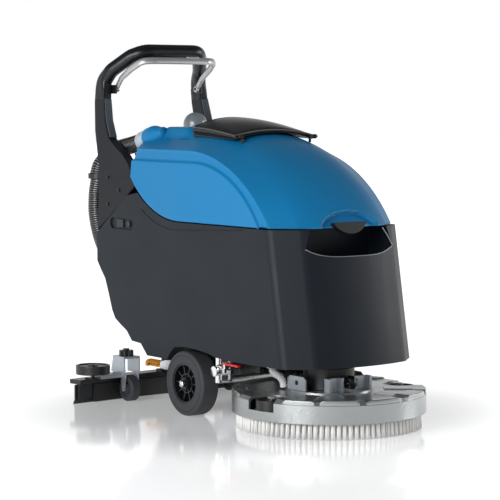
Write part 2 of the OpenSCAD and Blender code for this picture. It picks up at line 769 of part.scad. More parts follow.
module head_bracket()
    color([0.62, 0.65, 0.68]) {
        both_sides() difference() {
            side_plate(96, 101, [[276, deck_top_z + 4.2], [276, 134], [286, 142], [346, 142],
                [356, 134], [356, deck_top_z + 4.2]]);
            along_y(316, 90, 110, 124, 7);
        }
        notch_floor(-1);
        notch_floor(1);
        difference() {
            block([403, 411], [-74, 74], [deck_top_z + 4.2, 142]);
            translate([400, 0, knob_z]) rotate([0, 90, 0]) cylinder(r = 6 + run, h = 20);
        }
        for (y = [-74, -32, 66]) block([411, 424], [y, y + 8], [deck_top_z + 4.2, 142]);
    }

module star_knob()
    color(black_plastic) translate([411.5, 0, knob_z]) rotate([0, 90, 0]) {
        translate([0, 0, -10.5]) cylinder(r = 6, h = 16);
        cylinder(r = 13.5, h = 18);
        for (a = [0:60:300]) rotate([0, 0, a])
            translate([12.5, 0, 0]) cylinder(r = 6.5, h = 18, $fn = 32);
    }

module brush_plate()
    color(silver) translate([deck_x, 0, 0]) difference() {
        union() {
            translate([0, 0, 45]) cylinder(r = 249, h = 14);
            translate([0, 0, 58]) cylinder(r = 40, h = 8);
        }
        translate([0, 0, 30]) cylinder(r = 12 + run, h = 60);
    }

module brush_bristles()
    color([0.93, 0.92, 0.88]) translate([deck_x, 0, 0])
        rotate_extrude($fn = 160) polygon([[120, 0], [brush_r, 0], [249, 45], [120, 45]]);

// ---------------------------------------------------------------- squeegee

module squeegee_arm()
    color(silver) difference() {
        union() {
            both_sides() side_plate(76, 84, [[arm_pivot_x + 14, arm_pivot_z - 12],
                [arm_pivot_x + 14, arm_pivot_z + 12], [arm_pivot_x - 20, arm_pivot_z + 12],
                [-340, 116], [-366, 108], [-366, 90], [-340, 88], [arm_pivot_x - 20, arm_pivot_z - 12]]);
            block([-366, -358], [-84, 84], [90, 108]);
            translate([-366, -24, 92]) cube([10, 48, 14]);
            translate([swing_x, 0, 92]) cylinder(r = 20, h = 14);
        }
        along_y(arm_pivot_x, -110, 110, arm_pivot_z, 6 + run);
        translate([swing_x, 0, 80]) cylinder(r = 8 + run, h = 40);
        translate([swing_x, 0, 80]) cylinder(r = 18, h = 12);
        translate([swing_x, 0, 106]) cylinder(r = 18, h = 12);
    }

module squeegee_body()
    color(black_plastic) {
        curved_bar(squeegee_half_l - 2, [[-22, 58], [26, 58], [26, 71], [-22, 71]]);
        curved_bar(squeegee_half_l - 6, [[-12, 14], [-2, 14], [-2, 58.5], [-12, 58.5]]);
        curved_bar(squeegee_half_l - 60, [[12, 16], [20, 16], [20, 58.5], [12, 58.5]]);
        translate([-440, 0, 71 - 1]) difference() {
            cylinder(r = 24.5, h = 36);
            translate([0, 0, 4]) cylinder(r = 21, h = 40);
        }
        translate([-430, -30, 70]) cube([80, 60, 12]);
        translate([swing_x, 0, 70]) cylinder(r = 16, h = 21.5);
        translate([swing_x, 0, 90]) cylinder(r = 8, h = 22);
        translate([swing_x, 0, 107]) cylinder(r = 14, h = 7, $fn = 6);
        translate([-414, -66, 70]) cube([28, 40, 12]);
        translate([-400, -52, 80]) cylinder(r = 5, h = 16);
        translate([-400, -52, 96]) cylinder(r = 9, h = 5, $fn = 6);
        both_sides() translate([-390, 304, 70]) {
            cylinder(r = 6, h = 46);
            translate([-26, -12, 0]) cube([40, 24, 6]);
        }
    }

module squeegee_blades()
    color(rubber_grey) {
        curved_bar(squeegee_half_l, [[-2, 12], [3, 12], [3, 56], [-2, 56]]);
        curved_bar(squeegee_half_l, [[0, 0], [10, 0], [3, 12.5], [-2, 12.5]]);
        curved_bar(squeegee_half_l - 58, [[-17, 2], [-12.5, 2], [-12.5, 54], [-17, 54]]);
    }

module squeegee_wheel_at(side) translate([support_wheel_x, side * bracket_y, 37]) children();

module caster_brackets()
    color([0.62, 0.65, 0.68]) {
        bracket_feet();
        both_sides() {
            difference() {
                translate([-394, bracket_y, 82]) linear_extrude(50) square([62, 56], center = true);
                block([-430, -358], [bracket_y - 24, bracket_y + 24], [81, 126]);
                translate([-394, bracket_y, 120]) cylinder(r = 6 + run, h = 20);
            }
            for (y = [bracket_y - 24, bracket_y + 20])
                side_plate(y, y + 4, [[-388, 84], [-362, 84], [-368, 30], [-382, 30]]);
            along_y(support_wheel_x, bracket_y - 24, bracket_y + 24, 37, 5);
        }
    }
module bracket_feet()
    for (y = [-284, 206]) block([-416, -378], [y, y + 78], [71, 83]);

module squeegee_wheel_right()
    color(rubber_grey) squeegee_wheel_at(-1) rotate([90, 0, 0]) small_wheel(36.9, 30, 5 + run);
module squeegee_wheel_left()
    color(rubber_grey) squeegee_wheel_at(1) rotate([90, 0, 0]) small_wheel(36.9, 30, 5 + run);

module knob_shape()
    color(black_plastic) {
        translate([0, 0, -10]) cylinder(r = 6, h = 14);
        cylinder(r = 17, h = 16);
        for (a = [0:45:315]) rotate([0, 0, a]) translate([17, 0, 0]) cylinder(r = 4.5, h = 16, $fn = 24);
        translate([0, 0, 15.9]) cylinder(r = 9, h = 5);
    }
module bracket_knob_right() translate([-394, -bracket_y, 132.5]) knob_shape();
module bracket_knob_left() translate([-394, bracket_y, 132.5]) knob_shape();

module end_roller(side)
    color(black_plastic) translate([-390, side * 304, 88]) difference() {
        cylinder(r = 50, h = 26);
        translate([0, 0, -1]) cylinder(r = 6 + run, h = 40);
        translate([0, 0, 23]) difference() {
            cylinder(r = 44, h = 10);
            cylinder(r = 15, h = 10);
        }
    }
module end_roller_right() end_roller(-1);
module end_roller_left() end_roller(1);

module release_lever()
    color([0.95, 0.68, 0.1]) translate([-400, -52, 0]) {
        difference() {
            translate([0, 0, 87]) cylinder(r = 12, h = 6);
            translate([0, 0, 80]) cylinder(r = 5 + run, h = 20);
        }
        translate([-62, -13, 87]) cube([54, 26, 5]);
        translate([-66, -18, 86]) cube([12, 36, 12]);
    }

// ---------------------------------------------------------------- nodes

solution_tank();
base_frame();
console_housing();
control_panel();
handle_frame();
lever_blocks();
handle_inserts();
grip_sleeve();
chassis_screws();
charger_socket();
batteries();
battery_leads();
vacuum_motor();
air_filter_dome();
axle();
suction_hose_upper();
suction_hose_lower();
hose_clamp();
solution_valve();
solution_hose();
tank_hinge_pin();
fill_cap();
recovery_tank();
tank_hinge_ears();
inlet_cuff();
front_latch();
debris_basket();
tank_lid();
lid_hinge_pins();
switch_lever();
tyre_right();
tyre_left();
rim_right();
rim_left();
caster_fork();
caster_wheel();
brush_deck();
brush_motor();
head_bracket();
star_knob();
brush_plate();
brush_bristles();
roller_right();
roller_left();
squeegee_arm();
squeegee_body();
squeegee_blades();
caster_brackets();
end_roller_right();
end_roller_left();
squeegee_wheel_right();
squeegee_wheel_left();
bracket_knob_right();
bracket_knob_left();
release_lever();
key_switch();
start_button();
flow_knob();
valve_lever();
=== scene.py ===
"""Looks of a walk-behind floor scrubber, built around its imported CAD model.

Lengths are in metres in the CAD frame: +X is the direction of travel, +Y the operator's left, +Z up.
"""

import math
from collections import namedtuple

import bpy
import numpy as np
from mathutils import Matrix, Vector


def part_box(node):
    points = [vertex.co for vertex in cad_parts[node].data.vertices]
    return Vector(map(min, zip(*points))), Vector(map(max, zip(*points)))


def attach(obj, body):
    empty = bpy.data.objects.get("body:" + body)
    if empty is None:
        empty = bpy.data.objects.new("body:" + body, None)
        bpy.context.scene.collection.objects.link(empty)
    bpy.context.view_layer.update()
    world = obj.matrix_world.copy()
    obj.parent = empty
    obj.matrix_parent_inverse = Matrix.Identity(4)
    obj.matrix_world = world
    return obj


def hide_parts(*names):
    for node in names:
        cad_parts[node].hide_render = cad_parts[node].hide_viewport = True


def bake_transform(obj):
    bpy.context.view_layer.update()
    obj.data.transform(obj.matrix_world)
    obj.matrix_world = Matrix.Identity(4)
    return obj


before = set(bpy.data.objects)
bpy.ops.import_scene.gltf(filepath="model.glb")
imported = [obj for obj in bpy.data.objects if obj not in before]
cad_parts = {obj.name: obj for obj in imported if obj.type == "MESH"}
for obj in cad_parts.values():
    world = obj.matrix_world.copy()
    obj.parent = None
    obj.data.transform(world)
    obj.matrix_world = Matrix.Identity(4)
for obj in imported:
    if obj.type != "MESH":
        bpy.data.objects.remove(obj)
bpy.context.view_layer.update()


# ---------------------------------------------------------------- materials

def new_material(name):
    """An empty node material with its shader, returned as (material, nodes, links, shader)."""
    m = bpy.data.materials.new(name)
    m.use_nodes = True
    n, l = m.node_tree.nodes, m.node_tree.links
    return m, n, l, n["Principled BSDF"]


GRAIN_DEPTH = 0.0004
GLOSS_LIMIT = 0.03
COAT_ROUGHNESS = 0.15


def mottled(name, colour, rough=0.5, metal=0.0, variation=0.12, scale=6.0, grain=900.0,
            bump=0.15, rough_spread=0.1, coat=0.0, specular=0.5):
    """A moulded, painted or metal finish: slow colour drift, uneven gloss and a fine surface grain."""
    m, n, l, shader = new_material(name)
    where = n.new("ShaderNodeTexCoord")
    slow = n.new("ShaderNodeTexNoise")
    slow.inputs["Scale"].default_value = scale
    slow.inputs["Detail"].default_value = 6
    l.new(where.outputs["Object"], slow.inputs["Vector"])
    ramp = n.new("ShaderNodeMix")
    ramp.data_type = "RGBA"
    low = [c * (1 - variation) for c in colour]
    high = [min(1.0, c * (1 + variation)) for c in colour]
    ramp.inputs["A"].default_value = (*low, 1)
    ramp.inputs["B"].default_value = (*high, 1)
    l.new(slow.outputs["Fac"], ramp.inputs["Factor"])
    l.new(ramp.outputs["Result"], shader.inputs["Base Color"])
    gloss = n.new("ShaderNodeMapRange")
    gloss.inputs["To Min"].default_value = max(GLOSS_LIMIT, rough - rough_spread)
    gloss.inputs["To Max"].default_value = min(1.0, rough + rough_spread)
    l.new(slow.outputs["Fac"], gloss.inputs["Value"])
    l.new(gloss.outputs["Result"], shader.inputs["Roughness"])
    fine = n.new("ShaderNodeTexNoise")
    fine.inputs["Scale"].default_value = grain
    fine.inputs["Detail"].default_value = 3
    l.new(where.outputs["Object"], fine.inputs["Vector"])
    dents = n.new("ShaderNodeBump")
    dents.inputs["Strength"].default_value = bump
    dents.inputs["Distance"].default_value = GRAIN_DEPTH
    l.new(fine.outputs["Fac"], dents.inputs["Height"])
    l.new(dents.outputs["Normal"], shader.inputs["Normal"])
    shader.inputs["Metallic"].default_value = metal
    shader.inputs["Coat Weight"].default_value = coat
    shader.inputs["Coat Roughness"].default_value = COAT_ROUGHNESS
    shader.inputs["Specular IOR Level"].default_value = specular
    return m


BLUE = mottled("tank_blue", (0.006, 0.185, 0.42), 0.40, variation=0.04, grain=420, bump=0.08, specular=0.26)
BODY = mottled("body_dark", (0.0085, 0.0125, 0.0185), 0.46, variation=0.10, grain=1500, bump=0.35,
               specular=0.24)
CHEEK = mottled("cheek_dark", (0.006, 0.0085, 0.012), 0.42, variation=0.10, grain=1500, bump=0.3,
                specular=0.24)
BLACK = mottled("black_plastic", (0.007, 0.007, 0.008), 0.36, variation=0.15, grain=1200, bump=0.2)
LID = mottled("lid_black", (0.005, 0.006, 0.008), 0.30, variation=0.15, grain=1100, bump=0.15,
              specular=0.25)
LID_RIM = mottled("lid_rim", (0.014, 0.012, 0.012), 0.26, variation=0.15, grain=900, bump=0.12,
                  specular=0.35)
# a light grey for thin edges, a painted highlight: the top of the lid's bead and the pocket's mouth
PAINTED_HIGHLIGHT = mottled("painted_highlight", (0.24, 0.245, 0.25), 0.30, 0.4, variation=0.10, grain=900, bump=0.1)
GRIP = mottled("grip_black", (0.005, 0.0065, 0.0085), 0.27, variation=0.2, grain=1400, bump=0.25,
               specular=0.35)
TYRE = mottled("tyre_grey", (0.034, 0.037, 0.042), 0.62, variation=0.14, grain=700, bump=0.4)
RIM = mottled("rim_black", (0.007, 0.008, 0.009), 0.40, variation=0.2, grain=900, bump=0.25)
HOSE = mottled("hose_black", (0.006, 0.006, 0.007), 0.30, variation=0.2, grain=900, bump=0.1)
SPIRAL = mottled("hose_spiral", (0.24, 0.245, 0.25), 0.28, 0.5, variation=0.3, scale=30, grain=600,
                 bump=0.1)
WATER = mottled("water_hose", (0.74, 0.76, 0.78), 0.30, variation=0.06, grain=500, bump=0.1)
CAST = mottled("deck_cast", (0.40, 0.42, 0.425), 0.28, 0.85, variation=0.07, scale=9, grain=1500,
               bump=0.12)
STEEL = mottled("zinc_steel", (0.62, 0.63, 0.65), 0.25, 1.0, variation=0.10, grain=700, bump=0.2)
BRACKET = mottled("bracket_grey", (0.42, 0.46, 0.50), 0.32, 0.6, variation=0.10, grain=900, bump=0.2)
FRAME = mottled("frame_black", (0.010, 0.010, 0.011), 0.42, 0.1, variation=0.15, grain=900, bump=0.3)
LEVER = mottled("lever_silver", (0.50, 0.50, 0.51), 0.33, 0.7, variation=0.08, grain=1400, bump=0.2)
INSERT = mottled("insert_grey", (0.085, 0.10, 0.12), 0.30, 0.5, variation=0.10, grain=900, bump=0.2)
MOTOR = mottled("motor_black", (0.016, 0.016, 0.018), 0.42, 0.2, variation=0.15, grain=900, bump=0.3)
BRISTLE = mottled("bristle_white", (0.86, 0.86, 0.84), 0.50, variation=0.08, scale=60, grain=600, bump=0.3)
SQUEEGEE = mottled("squeegee_dark", (0.010, 0.011, 0.013), 0.32, 0.1, variation=0.15, grain=900, bump=0.2)
BLADE = mottled("blade_rubber", (0.011, 0.011, 0.012), 0.50, variation=0.2, grain=700, bump=0.3)
DOME = mottled("dome_grey", (0.20, 0.235, 0.26), 0.30, 0.2, variation=0.25, scale=30, grain=300,
               bump=0.2, coat=0.2)
CUFF = mottled("cuff_grey", (0.45, 0.52, 0.58), 0.34, variation=0.08, grain=700, bump=0.15)
BASKET = mottled("basket_yellow", (0.75, 0.50, 0.03), 0.45, variation=0.10, grain=700, bump=0.2)
BATTERY = mottled("battery_case", (0.030, 0.032, 0.036), 0.55, variation=0.12, grain=500, bump=0.3)
LEAD = mottled("lead_red", (0.42, 0.025, 0.02), 0.45, variation=0.12, grain=900, bump=0.15)
CHROME = mottled("plated", (0.78, 0.79, 0.80), 0.12, 1.0, variation=0.05, grain=500, bump=0.05,
                 rough_spread=0.05)
RED = mottled("lever_red", (0.66, 0.012, 0.010), 0.30, variation=0.08, grain=700, bump=0.1, coat=0.2)
YELLOW = mottled("lever_yellow", (0.86, 0.36, 0.008), 0.34, variation=0.08, grain=700, bump=0.12, coat=0.1)
GREEN = mottled("button_green", (0.03, 0.33, 0.08), 0.35, variation=0.08, grain=700, bump=0.1)


# ---------------------------------------------------------------- mesh helpers

def mesh_object(name, verts, faces, materials, face_material=None):
    """A new object from a vertex array and a face list; face_material is one slot number a face."""
    mesh = bpy.data.meshes.new(name)
    mesh.from_pydata([tuple(v) for v in np.asarray(verts, float)], [], [tuple(f) for f in faces])
    for m in (materials if isinstance(materials, (list, tuple)) else [materials]):
        mesh.materials.append(m)
    if face_material is not None:
        mesh.polygons.foreach_set("material_index", np.asarray(face_material, dtype=np.int32))
    mesh.polygons.foreach_set("use_smooth", [True] * len(mesh.polygons))
    mesh.update()
    obj = bpy.data.objects.new(name, mesh)
    bpy.context.scene.collection.objects.link(obj)
    return obj


def grid_faces(rows, cols, wrap=False, start=0, flip=False):
    """Quads over a rows by cols block of vertices; wrap closes each row on itself."""
    faces = []
    for i in range(rows - 1):
        for j in range(cols if wrap else cols - 1):
            k = (j + 1) % cols
            f = (start + i * cols + j, start + i * cols + k, start + (i + 1) * cols + k,
                 start + (i + 1) * cols + j)
            faces.append(f[::-1] if flip else f)
    return faces


def bevelled(obj, width, segments=3, angle=30):
    """Softens the sharp edges, as a mould or a press leaves them."""
    b = obj.modifiers.new("soft_edges", "BEVEL")
    b.width = width
    b.segments = segments
    b.limit_method = "ANGLE"
    b.angle_limit = math.radians(angle)
    b.harden_normals = True
    b.miter_outer = "MITER_ARC"
    return obj


SHARP_ANGLE = math.radians(24)
FLAT_ANGLE = math.radians(0.6)
WELD_DISTANCE = 0.00001


def facet_smoother():
    """A node group that shades shallow edges smooth and keeps the steeper ones sharp."""
    group = bpy.data.node_groups.new("smooth_facets", "GeometryNodeTree")
    group.interface.new_socket("Geometry", in_out="INPUT", socket_type="NodeSocketGeometry")
    group.interface.new_socket("Geometry", in_out="OUTPUT", socket_type="NodeSocketGeometry")
    n, l = group.nodes, group.links
    start, end = n.new("NodeGroupInput"), n.new("NodeGroupOutput")
    faces, edges = n.new("GeometryNodeSetShadeSmooth"), n.new("GeometryNodeSetShadeSmooth")
    faces.domain, edges.domain = "FACE", "EDGE"
    edges.inputs["Shade Smooth"].default_value = False
    bend = n.new("GeometryNodeInputMeshEdgeAngle")
    steep = n.new("FunctionNodeCompare")
    steep.operation = "GREATER_THAN"
    steep.inputs[1].default_value = SHARP_ANGLE
    l.new(start.outputs[0], faces.inputs["Geometry"])
    l.new(faces.outputs["Geometry"], edges.inputs["Geometry"])
    l.new(bend.outputs["Unsigned Angle"], steep.inputs[0])
    l.new(steep.outputs[0], edges.inputs["Selection"])
    l.new(edges.outputs["Geometry"], end.inputs[0])
    return group


FACETS = facet_smoother()


def cad_finish(node, material, width=0.0, segments=2, angle=35):
    """Gives a CAD node its material, smooth curves, and soft edges where it has room for them."""
    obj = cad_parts[node]
    obj.data.materials.clear()
    obj.data.materials.append(material)
    weld = obj.modifiers.new("join_facets", "WELD")
    weld.merge_threshold = WELD_DISTANCE
    if width:
        flat = obj.modifiers.new("merge_flats", "DECIMATE")
        flat.decimate_type = "DISSOLVE"
        flat.angle_limit = FLAT_ANGLE
        bevelled(obj, width, segments, angle)
    obj.modifiers.new("smooth_facets", "NODES").node_group = FACETS
    weighted = obj.modifiers.new("even_shading", "WEIGHTED_NORMAL")
    weighted.keep_sharp = True
    return obj


def rounded_path(points, radius, steps=8):
    """Points along a polyline whose corners are arcs of about the given radius."""
    p = [np.array(q, float) for q in points]
    out = [p[0]]
    for a, b, c in zip(p, p[1:], p[2:]):
        u, v = (a - b), (c - b)
        lu, lv = np.linalg.norm(u), np.linalg.norm(v)
        u, v = u / lu, v / lv
        half = math.acos(max(-1, min(1, float(np.dot(u, v))))) / 2
        back = min(radius / max(math.tan(half), 1e-6), 0.48 * lu, 0.48 * lv)
        s, e = b + u * back, b + v * back
        for k in range(steps + 1):
            t = k / steps
            out.append((1 - t) ** 2 * s + 2 * t * (1 - t) * b + t * t * e)
    out.append(p[-1])
    return np.array(out)


def spline_path(points, steps=10):
    """A Catmull-Rom curve through the points."""
    p = np.array(points, float)
    out = []
    for i in range(len(p) - 1):
        a, b, c, d = p[max(i - 1, 0)], p[i], p[i + 1], p[min(i + 2, len(p) - 1)]
        for k in range(steps):
            t = k / steps
            out.append(0.5 * (2 * b + (c - a) * t + (2 * a - 5 * b + 4 * c - d) * t * t
                              + (3 * b - a - 3 * c + d) * t ** 3))
    out.append(p[-1])
    return np.array(out)


def resample(path, spacing):
    """The same path with points an even distance apart."""
    step = np.linalg.norm(np.diff(path, axis=0), axis=1)
    s = np.concatenate([[0], np.cumsum(step)])
    n = max(3, int(round(s[-1] / spacing)) + 1)
    t = np.linspace(0, s[-1], n)
    return np.stack([np.interp(t, s, path[:, k]) for k in range(3)], axis=1)


def path_length(path):
    return float(np.linalg.norm(np.diff(path, axis=0), axis=1).sum())


def frames_along(path):
    """Tangent and two side vectors at each point, turning as little as possible."""
    t = np.gradient(path, axis=0)
    t /= np.linalg.norm(t, axis=1)[:, None]
    ref = np.array([0, 0, 1.0]) if abs(t[0][2]) < 0.9 else np.array([1.0, 0, 0])
    u = np.cross(t[0], ref)
    u /= np.linalg.norm(u)
    us = [u]
    for i in range(1, len(path)):
        u = us[-1] - t[i] * np.dot(us[-1], t[i])
        us.append(u / np.linalg.norm(u))
    us = np.array(us)
    return t, us, np.cross(t, us)


def sweep(name, path, outline, materials, face_material=None):
    """A capped bar along path; outline(s, angles) gives its two offsets at length s and each angle."""
    _, u, v = frames_along(path)
    s = np.concatenate([[0], np.cumsum(np.linalg.norm(np.diff(path, axis=0), axis=1))])
    sides = outline.sides
    ang = np.linspace(0, 2 * math.pi, sides, endpoint=False)
    verts = []
    for i in range(len(path)):
        a, b = outline(s[i], ang)
        verts.append(path[i] + np.outer(a, u[i]) + np.outer(b, v[i]))
    verts = np.concatenate(verts)
    faces = grid_faces(len(path), sides, wrap=True)
    idx = list(face_material(s, ang)) if face_material else [0] * len(faces)
    faces.append(tuple(range(sides))[::-1])
    faces.append(tuple(range((len(path) - 1) * sides, len(path) * sides)))
    idx += [0, 0]
    return mesh_object(name, verts, faces, materials, idx)


class Round:
    """A circular or oval outline for sweep, with an optional ripple along the length."""

    def __init__(self, a, b=None, sides=32, ripple=None):
        self.a, self.b, self.sides, self.ripple = a, b or a, sides, ripple

    def __call__(self, s, ang):
        extra = self.ripple(s, ang) if self.ripple else 0
        return np.cos(ang) * (self.a + extra), np.sin(ang) * (self.b + extra)


def squared(ang, power):
    """Cosine and sine pushed towards a square outline; a power of 1 leaves them round."""
    c, q = np.cos(ang), np.sin(ang)
    return np.sign(c) * np.abs(c) ** power, np.sign(q) * np.abs(q) ** power


def ribs(height, pitch):
    """A ripple for Round: even ribs along the length."""
    return lambda s, ang: height * np.cos(2 * math.pi * s / pitch)


def turned(name, profile, centre, material, segments):
    """A lathe-turned piece from (radius, offset) points, about a line along y through centre."""
    profile = np.array(profile, float)
    ang = np.linspace(0, 2 * math.pi, segments, endpoint=False)
    rings = [np.stack([r * np.cos(ang), np.full(segments, h), -r * np.sin(ang)], axis=1) for r, h in profile]
    faces = grid_faces(len(profile), segments, wrap=True)
    return mesh_object(name, np.concatenate(rings) + np.array(centre), faces, material)


def collar(name, bore, radius, chamfer, centre, material, segments):
    """A short chamfered ring round a pin that lies along y."""
    half, edge = 0.0055, 0.001
    profile = [(bore, -half), (radius - chamfer, -half), (radius, edge - half), (radius, half - edge),
               (radius - chamfer, half), (bore, half), (bore, -half)]
    return turned(name, profile, centre, material, segments)


def smoothstep(x):
    x = np.clip(x, 0, 1)
    return x * x * (3 - 2 * x)


def mix(a, b, t):
    return a + (b - a) * t


# ---------------------------------------------------------------- recovery tank

SEAM = 0.546
REAR = -0.335
ARC = namedtuple("ARC", "x z radius y rear_height")
CROWN = ARC(-0.064, 0.208, 0.597, 0.0, 0.800)
MID = ARC(-0.064, 0.208, 0.590, 0.080, 0.793)
CREASE = ARC(-0.064, 0.208, 0.567, 0.150, 0.771)
SHOULDER = ARC(-0.040, 0.287, 0.457, 0.214, 0.745)
PANEL = ARC(0.0, 0.351, 0.360, 0.222, 0.712)
SILL_X, SILL_Z, SILL_RADIUS = -0.070, 0.857, 0.311
DECK_TOP = 0.808
# how the skin is divided: sections from rear to seam, those before the arc, and steps up the side
STATIONS, STRAIGHT_STATIONS = 150, 46
SIDE_STEPS = np.linspace(0.1, 1, 14)


def arc_rows(arc):
    """One of the tank's long curves at every station: up from the rear wall, round the arc to the seam."""
    t = np.arange(STATIONS)
    top = arc.z + arc.radius
    x = REAR + (arc.x - REAR) * t / STRAIGHT_STATIONS
    z = arc.rear_height + (top - arc.rear_height) * smoothstep(t / STRAIGHT_STATIONS) ** 0.8
    end = math.acos((SEAM - arc.z) / arc.radius)
    w = end * (t - STRAIGHT_STATIONS) / (STATIONS - 1 - STRAIGHT_STATIONS)
    past = t > STRAIGHT_STATIONS
    x[past] = arc.x + arc.radius * np.sin(w[past])
    z[past] = arc.z + arc.radius * np.cos(w[past])
    return np.stack([x, np.full(STATIONS, arc.y), z], axis=1)


def sill_height(x):
    """The height of the tank's lower edge: level in front, an upward sweep behind."""
    dip = SILL_RADIUS ** 2 - (x - SILL_X) ** 2
    return np.where(x > SILL_X, SEAM, SILL_Z - np.sqrt(np.maximum(dip, 0)))


def tank_section(low, pan, sho, cre, mid, crown):
    """One closed section, from the sill up the left side and over the crown, and mirrored to the right."""
    rows = [low + (0, -0.004, 0), low + (0, -0.001, 0.0006), low + (0, 0, 0.003)]
    rows += [mix(low + (0, 0, 0.003), pan + (0, 0, -0.004), t) for t in SIDE_STEPS]
    # the recessed band between panel and shoulder
    band_low = pan + (0, -0.008, 0.0035)
    band_high = mix(pan, sho, 0.92) + (0, -0.004, 0)
    rows += [pan + (0, -0.0006, -0.001), pan + (0, -0.004, 0.0016), band_low]
    rows += [mix(band_low, band_high, t) for t in np.linspace(0.2, 0.9, 4)]
    rows += [mix(pan, sho, 0.97) + (0, -0.0025, 0), sho + (0, -0.001, 0.0006)]
    rows += [mix(sho, cre, t) for t in np.linspace(0.06, 0.94, 12)]
    # the crowned top: even powers of y through the crown, the middle curve and the crease
    to_mid = (mid - crown) / MID.y ** 2
    to_crease = (cre - crown) / CREASE.y ** 2
    quart = (to_crease - to_mid) / (CREASE.y ** 2 - MID.y ** 2)
    quad = to_mid - quart * MID.y ** 2
    for y in [0.1493, 0.148, 0.145] + list(np.linspace(0.140, 0.0, 24)):
        p = crown + quad * y ** 2 + quart * y ** 4
        rows.append(np.array([p[0], y, p[2]]))
    right = [np.array([p[0], -p[1], p[2]]) for p in rows[:-1]]
    return np.array(right + rows[::-1])


def draw_in_rear(x, y, z):
    """Draws the rear corners in, most of all at shoulder height, and lets the sill follow."""
    depth, start = 0.038, -0.20
    drawn = depth * smoothstep((np.abs(y) - 0.150) / 0.065)
    drawn = drawn * (1 - 0.74 * np.clip((0.735 - z) / 0.054, 0, 1))
    moved = np.where(x < start, start - (start - x) * (start - REAR - drawn) / (start - REAR), x)
    share = 1 - np.concatenate([[0, 0, 0], SIDE_STEPS])
    fall = np.zeros(x.shape[1])
    fall[:len(share)] = share
    fall[-len(share):] = share[::-1]
    z += (sill_height(moved) - sill_height(x)) * fall
    x[:] = moved


def arch_recess(x, y, z):
    """Sinks the arched recess over the front grip, with a soft lip round it."""
    middle, half, rise, depth, lip = 0.006, 0.094, 0.040, 0.017, 0.0022
    arch = SEAM + rise * np.sqrt(np.clip(1 - ((y - middle) / half) ** 2, 0, 1))
    front = x > 0.3
    inside = smoothstep((arch - z) / 0.004 + 0.5) * (np.abs(y - middle) < half + 0.0005) * front
    x -= depth * inside
    x += lip * np.exp(-((z - arch - 0.004) / 0.004) ** 2) * (np.abs(y) < half + 0.001) * front


def top_details(x, y, z):
    """Makes the flat deck behind the lid and the dip before the hose's boss."""
    top = (np.abs(y) < 0.149) & (z > 0.70)
    flat = smoothstep((-0.118 - x) / 0.006) * smoothstep((x + 0.312) / 0.045)
    flat = flat * smoothstep((0.143 - np.abs(y)) / 0.030) * top
    z += flat * np.maximum(DECK_TOP - z, 0.0)
    z -= 0.020 * np.exp(-((x + 0.140) / 0.016) ** 2 - ((y + 0.118) / 0.022) ** 2) * top


def tank_shell():
    """The blue tank's skin: side panels, recessed bands, shoulders and crowned top, as one closed form."""
    crown, mid, crease, shoulder, panel = (arc_rows(a) for a in (CROWN, MID, CREASE, SHOULDER, PANEL))
    sill = panel.copy()
    sill[:, 0] -= 0.002
    sill[:, 2] = np.minimum(sill_height(sill[:, 0]), panel[:, 2] - 0.004)
    sill[-1, 2] = SEAM
    s = np.array([tank_section(*rows) for rows in zip(sill, panel, shoulder, crease, mid, crown)])
    x, y, z = s[:, :, 0], s[:, :, 1], s[:, :, 2]
    draw_in_rear(x, y, z)
    arch_recess(x, y, z)
    top_details(x, y, z)

    m = s.shape[1]
    centre = np.array([REAR, 0, 0.735])
    cap = centre + (s[0] - centre) * 0.985
    edge = s[0] + np.array([0.006, 0, 0])
    body = [cap, edge] + list(s[2:])
    rows = len(body)
    faces = grid_faces(rows, m, flip=True)
    faces.append(tuple(range(m)))
    base = (rows - 1) * m
    faces.append(tuple(range(base, base + m))[::-1])
    faces += [(i * m, (i + 1) * m, (i + 1) * m + m - 1, i * m + m - 1) for i in range(rows - 1)]
    return mesh_object("tank_shell", np.concatenate(body), faces, BLUE)


tank = tank_shell()
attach(tank, "recovery_tank")
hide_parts("recovery_tank")

# the boss where the suction hose's cuff goes in
inlet = np.array([-0.338, -0.136, 0.773])
INLET_SLOPE = math.radians(14)
out_dir = np.array([-math.cos(INLET_SLOPE), 0, -math.sin(INLET_SLOPE)])
boss_path = np.array([inlet + out_dir * d for d in np.linspace(-0.076, -0.0002, 20)])


def boss_taper(s, ang):
    """Slimmer inside the tank, and rounded off at the mouth."""
    return -0.014 * smoothstep(1 - s / 0.048) - 0.0015 * smoothstep((s - 0.073) / 0.0025)


boss = sweep("inlet_boss", boss_path, Round(0.0312, sides=48, ripple=boss_taper), BLUE)
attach(boss, "recovery_tank")

cad_finish("tank_hinge_ears", BLUE, 0.0015)
cad_finish("inlet_cuff", CUFF, 0.0012)
cad_finish("debris_basket", BASKET, 0.001)
cad_finish("lid_hinge_pins", BLACK, 0.0008)


# ---------------------------------------------------------------- lid

